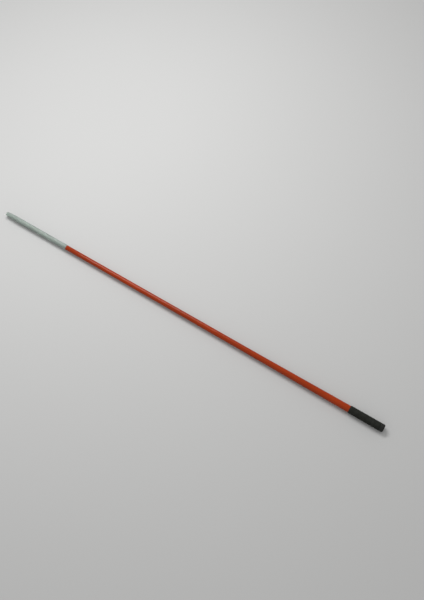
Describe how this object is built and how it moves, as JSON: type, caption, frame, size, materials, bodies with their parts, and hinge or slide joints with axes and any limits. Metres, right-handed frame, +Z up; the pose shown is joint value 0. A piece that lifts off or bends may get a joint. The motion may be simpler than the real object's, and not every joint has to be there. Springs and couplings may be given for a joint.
{
  "type": "traffic baton light",
  "caption": "Long slim signalling wand: frosted lamp tube, tapered orange shaft, ribbed black rubber grip over the battery tube, screw tail cap with a push switch.",
  "frame": {"origin": "middle of the baton's length, on the surface that it lies on, straight below its axis", "axes": "+X along the baton from the butt towards the lamp's tip, +Z up from the surface it lies on, +Y to its side"},
  "size_m": [1.45, 0.0252, 0.0252],
  "materials": {
    "shaft": "glossy lacquered glass fibre, orange",
    "grip_rubber": "matte ribbed rubber, black",
    "cap_plastic": "satin moulded plastic, black",
    "lamp_tube": "frosted translucent plastic, pale grey-green",
    "turned_aluminium": "turned",
    "steel": "machined",
    "spring_steel": "bright nickel-plated wire",
    "contact_brass": "nickel-free brass, clean",
    "seal_rubber": "smooth greased rubber, black",
    "board_white": "white solder mask",
    "board_green": "green solder mask",
    "led": "white package with a yellow phosphor face",
    "chip": "black moulded components",
    "cable_sheath": "extruded sheath, black",
    "core_red": "extruded insulation, red",
    "core_black": "extruded insulation, black",
    "foam": "closed-cell foam, dark grey",
    "white_plastic": "moulded, white",
    "black_plastic": "moulded, black",
    "button_rubber": "moulded rubber, dark grey",
    "plunger_plastic": "moulded, red",
    "cell_wrap": "printed sleeve over a steel can"
  },
  "bodies": {
    "wand": {"shaft_tube": "shaft", "grip_sleeve": "grip_rubber", "lamp_tube": "lamp_tube", "lamp_coupler": "turned_aluminium", "lamp_seal": "seal_rubber", "lamp_screw": "steel", "led_spine": "turned_aluminium", "spine_pins": "steel", "upper_led_board": "board_white", "lower_led_board": "board_white", "upper_leds": "led", "lower_leds": "led", "board_resistors": "chip", "board_link": "spring_steel", "spine_centraliser": "white_plastic", "lamp_cable": "cable_sheath", "red_cores": "core_red", "black_cores": "core_black", "cable_spacers": "foam", "battery_tube": "turned_aluminium", "battery_cell_1": "cell_wrap", "battery_cell_2": "cell_wrap", "battery_cell_3": "cell_wrap", "contact_holder": "black_plastic", "positive_contact": "contact_brass", "driver_board": "board_green", "driver_parts": "chip"},
    "spring": {"battery_spring": "spring_steel"},
    "cap": {"tail_cap": "cap_plastic", "tail_seal": "seal_rubber", "switch_body": "black_plastic", "switch_board": "board_green", "switch_retainer": "contact_brass", "button_stop_ring": "black_plastic", "plunger_spring": "spring_steel"},
    "button": {"push_button": "button_rubber", "switch_plunger": "plunger_plastic", "button_seal": "seal_rubber"}
  },
  "joints": [
    {"name": "cap_travel", "type": "slide", "parent": "wand", "child": "spring", "axis": [-1, 0, 0], "range_m": [0, 0.01]},
    {"name": "cap_turn", "type": "hinge", "parent": "spring", "child": "cap", "pos_m": [-0.725, 0, 0.0126], "axis": [-1, 0, 0], "range_deg": [0, 1800]},
    {"name": "button_press", "type": "slide", "parent": "cap", "child": "button", "axis": [1, 0, 0], "range_m": [0, 0.0015], "stiffness_N_per_m": 1500, "springref_m": -0.001, "deforming": ["plunger_spring"]}
  ],
  "couplings": [
    {"joint": "cap_turn", "follows": "cap_travel", "rad_per_m": 3141.6}
  ]
}
